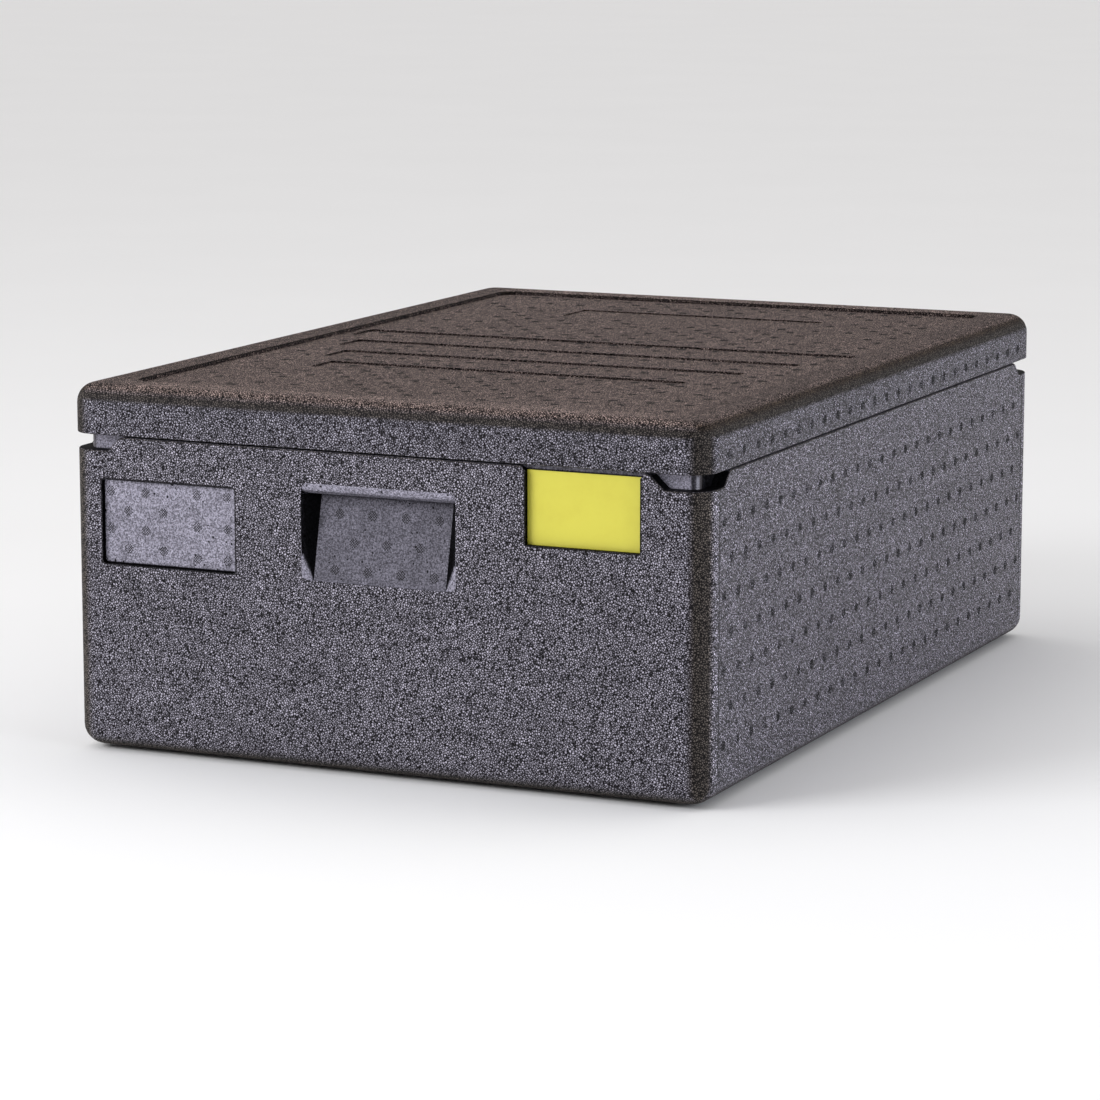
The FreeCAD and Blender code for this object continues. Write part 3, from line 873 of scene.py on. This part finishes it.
def panel_vents(sign, end_name, material):
    """Vent marks on the label panel of an end. sign is -1 at the front."""
    right = Vector((-sign, 0, 0))
    spots = []
    for row in range(PANEL_VENTS_LEFT_ROWS):
        for u in PANEL_VENTS_LEFT_U:
            v = PANEL_VENTS_LEFT_TOP - PANEL_VENTS_LEFT_PITCH * row
            spots.append((u + PANEL_VENTS_LEFT_SHIFT * (row % 2), v))
    for row in (1, 0, -1):
        for u in PANEL_VENTS_RIGHT_U:
            spots.append((u, PANEL_VENTS_RIGHT_PITCH * row))
    centres = []
    for u, v in spots:
        across = right * (PANEL_CENTRE[0] + u * MM)
        centres.append(Vector((0, sign * (HALF_LENGTH - PANEL_DEPTH), PANEL_CENTRE[1] + v * MM)) + across)
    vent_marks(f"{end_name}_panel_vents", centres, right, (0, 0, 1), "box", material)


def handle_vents(sign, end_name, material):
    """Vent marks on the slanted back of the handle of an end. sign is -1 at the front."""
    right = Vector((-sign, 0, 0))
    up = Vector((0, -sign * HANDLE_SLOPE, 1))
    centres = []
    for row, count in enumerate(HANDLE_VENT_COUNTS):
        z = HANDLE_VENT_TOP_Z - row * HANDLE_VENT_PITCH
        depth = HANDLE_LOW_DEPTH + (z - HANDLE_LOW_Z) * HANDLE_SLOPE
        for column in range(count):
            u = (column - (count - 1) / 2) * VENT_PITCH + HANDLE_VENT_SHIFT
            centres.append(Vector((0, sign * (HALF_LENGTH - depth), z)) + right * u)
    vent_marks(f"{end_name}_handle_vents", centres, right, up, "box", material)


def side_vents(sign, side_name, material):
    """Vent marks all over a long side of the box."""
    reach = HALF_LENGTH - SIDE_VENT_END
    low_z = BOX_LOW.z + SIDE_VENT_LOW
    high_z = LID_LOW.z - SIDE_VENT_HIGH
    grid = staggered(-reach, reach, low_z, high_z, VENT_PITCH, VENT_PITCH)
    centres = [(sign * HALF_WIDTH, y, z) for y, z in grid]
    vent_marks(f"{side_name}_side_vents", centres, (0, sign, 0), (0, 0, 1), "box", material)


def lid_level(x, y):
    """Height of the lid's top at a point in its panel, or None too close to a step."""
    margin = VENT_R + MM
    regions = [(*PLAQUE_HALF, PLAQUE_Y, PLAQUE_DEPTH)]
    for index in range(STRIP_COUNT):
        middle = STRIP_BACK_Y + index * STRIP_PITCH - STRIP_LENGTH / 2
        regions.append((STRIP_HALF_WIDTH + index * STRIP_STEP, STRIP_LENGTH / 2, middle, STRIP_DEPTH))
    for half_x, half_y, middle, depth in regions:
        past = max(abs(x) - half_x, abs(y - middle) - half_y)
        if past < -margin:
            return LID_PANEL_Z - depth
        if past < margin:
            return None
    return LID_PANEL_Z


def lid_top_vents(material):
    """Vent marks all over the sunken panel of the lid. Some didn't print, so they are left out."""
    half_x = LID_PANEL_HALF_WIDTH - LID_TOP_VENT_EDGE
    half_y = LID_PANEL_HALF_LENGTH - LID_TOP_VENT_EDGE
    draw = random.Random(LID_TOP_VENT_SEED)
    centres = []
    for x, y in staggered(-half_x, half_x, -half_y, half_y, *LID_TOP_VENT_PITCH):
        level = lid_level(x, y)
        on_plaque = abs(x) < PLAQUE_HALF[0] and abs(y - PLAQUE_Y) < PLAQUE_HALF[1]
        if draw.random() > LID_TOP_VENTS_MISSING and level is not None and not on_plaque:
            centres.append((x, y, level))
    vent_marks("lid_top_vents", centres, (1, 0, 0), (0, 1, 0), "lid", material,
               LID_TOP_NUB_HEIGHT)


def lid_side_vents(sign, side_name, material):
    """A row of vent marks low on a long side of the lid."""
    count = int((2 * HALF_LENGTH - LID_SIDE_VENT_ENDS) / VENT_PITCH)
    start = -count * VENT_PITCH / 2
    centres = []
    for index in range(count + 1):
        centres.append((sign * LID_HIGH.x, start + index * VENT_PITCH, LID_SIDE_VENT_Z))
    vent_marks(f"lid_{side_name}_vents", centres, (0, sign, 0), (0, 0, 1), "lid", material)


def direction_to(azimuth, elevation):
    """Unit vector, with azimuth 0 in front of the carrier and 90 to its right."""
    a = math.radians(azimuth)
    e = math.radians(elevation)
    return Vector((math.sin(a) * math.cos(e), -math.cos(a) * math.cos(e), math.sin(e)))


def soft_light(name, power, colour, direction):
    """Area light that faces the carrier, placed by its direction from there."""
    data = bpy.data.lights.new(name, "AREA")
    data.shape = "RECTANGLE"
    data.size, data.size_y = LAMP_SIZE
    data.energy = power
    data.color = colour
    back = direction_to(*direction)
    lamp = bpy.data.objects.new(name, data)
    lamp.location = LAMP_TARGET + back * LAMP_DISTANCE
    lamp.rotation_mode = "QUATERNION"
    lamp.rotation_quaternion = back.to_track_quat("Z", "Y")
    bpy.context.scene.collection.objects.link(lamp)


def around(g, view, direction, inner, outer):
    """1 within the inner angle of a direction, 0 beyond the outer angle."""
    inputs = {0: view, 1: tuple(direction_to(*direction))}
    toward = g.node("ShaderNodeVectorMath", inputs, operation="DOT_PRODUCT").outputs["Value"]
    return g.step(toward, math.cos(math.radians(outer)), math.cos(math.radians(inner)))


def studio_world():
    """Pale surroundings, with a dimmer backdrop behind the carrier and a dark gap above its front right."""
    world = bpy.data.worlds.new("studio")
    bpy.context.scene.world = world
    g = Graph(world)
    view = g.node("ShaderNodeTexCoord", {}).outputs["Generated"]
    sky = g.tint(g.step(g.axes(view)[2], *SKY_RISE), grey(*HORIZON), grey(*ZENITH))
    sky = g.tint(around(g, view, BACKDROP_DIRECTION, *BACKDROP_ANGLES), sky, grey(*BACKDROP))
    sky = g.tint(around(g, view, GAP_DIRECTION, *GAP_ANGLES), sky, grey(*GAP_COLOUR))
    background = g.node("ShaderNodeBackground", {"Color": sky, "Strength": 1.0})
    g.node("ShaderNodeOutputWorld", {"Surface": background.outputs[0]})


def studio_floor():
    """Round floor, so large that its edge is far from the carrier."""
    bm = bmesh.new()
    bmesh.ops.create_circle(bm, cap_ends=True, segments=FLOOR_SIDES, radius=FLOOR_R)
    floor = new_object("studio_floor", bm, studio_paper("studio_paper"))


def camera(low, high):
    """Camera at the viewing angle, aimed so that the carrier is in the middle of the frame."""
    data = bpy.data.cameras.new("camera")
    data.sensor_width = CAMERA_SENSOR
    data.lens = CAMERA_LENS
    data.clip_start, data.clip_end = CAMERA_CLIP
    eye = bpy.data.objects.new("camera", data)
    eye.location = CAMERA_PLACE
    eye.rotation_mode = "QUATERNION"
    bpy.context.scene.collection.objects.link(eye)
    bpy.context.scene.camera = eye
    corners = [Vector((x, y, z)) for x in (low.x, high.x) for y in (low.y, high.y) for z in (low.z, high.z)]
    aim = (low + high) / 2 - eye.location
    for _ in range(CAMERA_AIM_PASSES):
        turn = aim.to_track_quat("-Z", "Y")
        seen = [turn.inverted() @ (corner - eye.location) for corner in corners]
        across = [p.x / -p.z for p in seen]
        upward = [p.y / -p.z for p in seen]
        middle = Vector((min(across) + max(across), min(upward) + max(upward), -2.0)) / 2
        aim = turn @ middle
    eye.rotation_quaternion = aim.to_track_quat("-Z", "Y")


def dress(node, material):
    """Puts a material in every slot of a CAD node."""
    for slot in node.material_slots:
        slot.material = material


box_foam = foam("box_foam", box_surface, BOX_COLOURS)
lid_foam = foam("lid_foam", lid_surface, LID_COLOURS)
vent_foam = vent_plastic("vent_foam")
yellow_card = card_plastic("yellow_card")

dress(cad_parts["base_box"], box_foam)
dress(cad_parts["lid"], lid_foam)
dress(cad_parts["front_label_card"], yellow_card)
dress(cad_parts["rear_label_card"], yellow_card)

for end_sign, end in ((-1, "front"), (1, "rear")):
    panel_vents(end_sign, end, vent_foam)
    handle_vents(end_sign, end, vent_foam)
for side_sign, side in ((1, "right"), (-1, "left")):
    side_vents(side_sign, side, vent_foam)
lid_top_vents(vent_foam)
for side_sign, side in ((1, "right"), (-1, "left")):
    lid_side_vents(side_sign, side, vent_foam)

studio_floor()
studio_world()
soft_light("front_left_softbox", **FRONT_LEFT_LAMP)
soft_light("right_softbox", **RIGHT_LAMP)
camera(*CAD_BOX)

bpy.context.scene.view_settings.view_transform = "Standard"

bpy.context.view_layer.update()
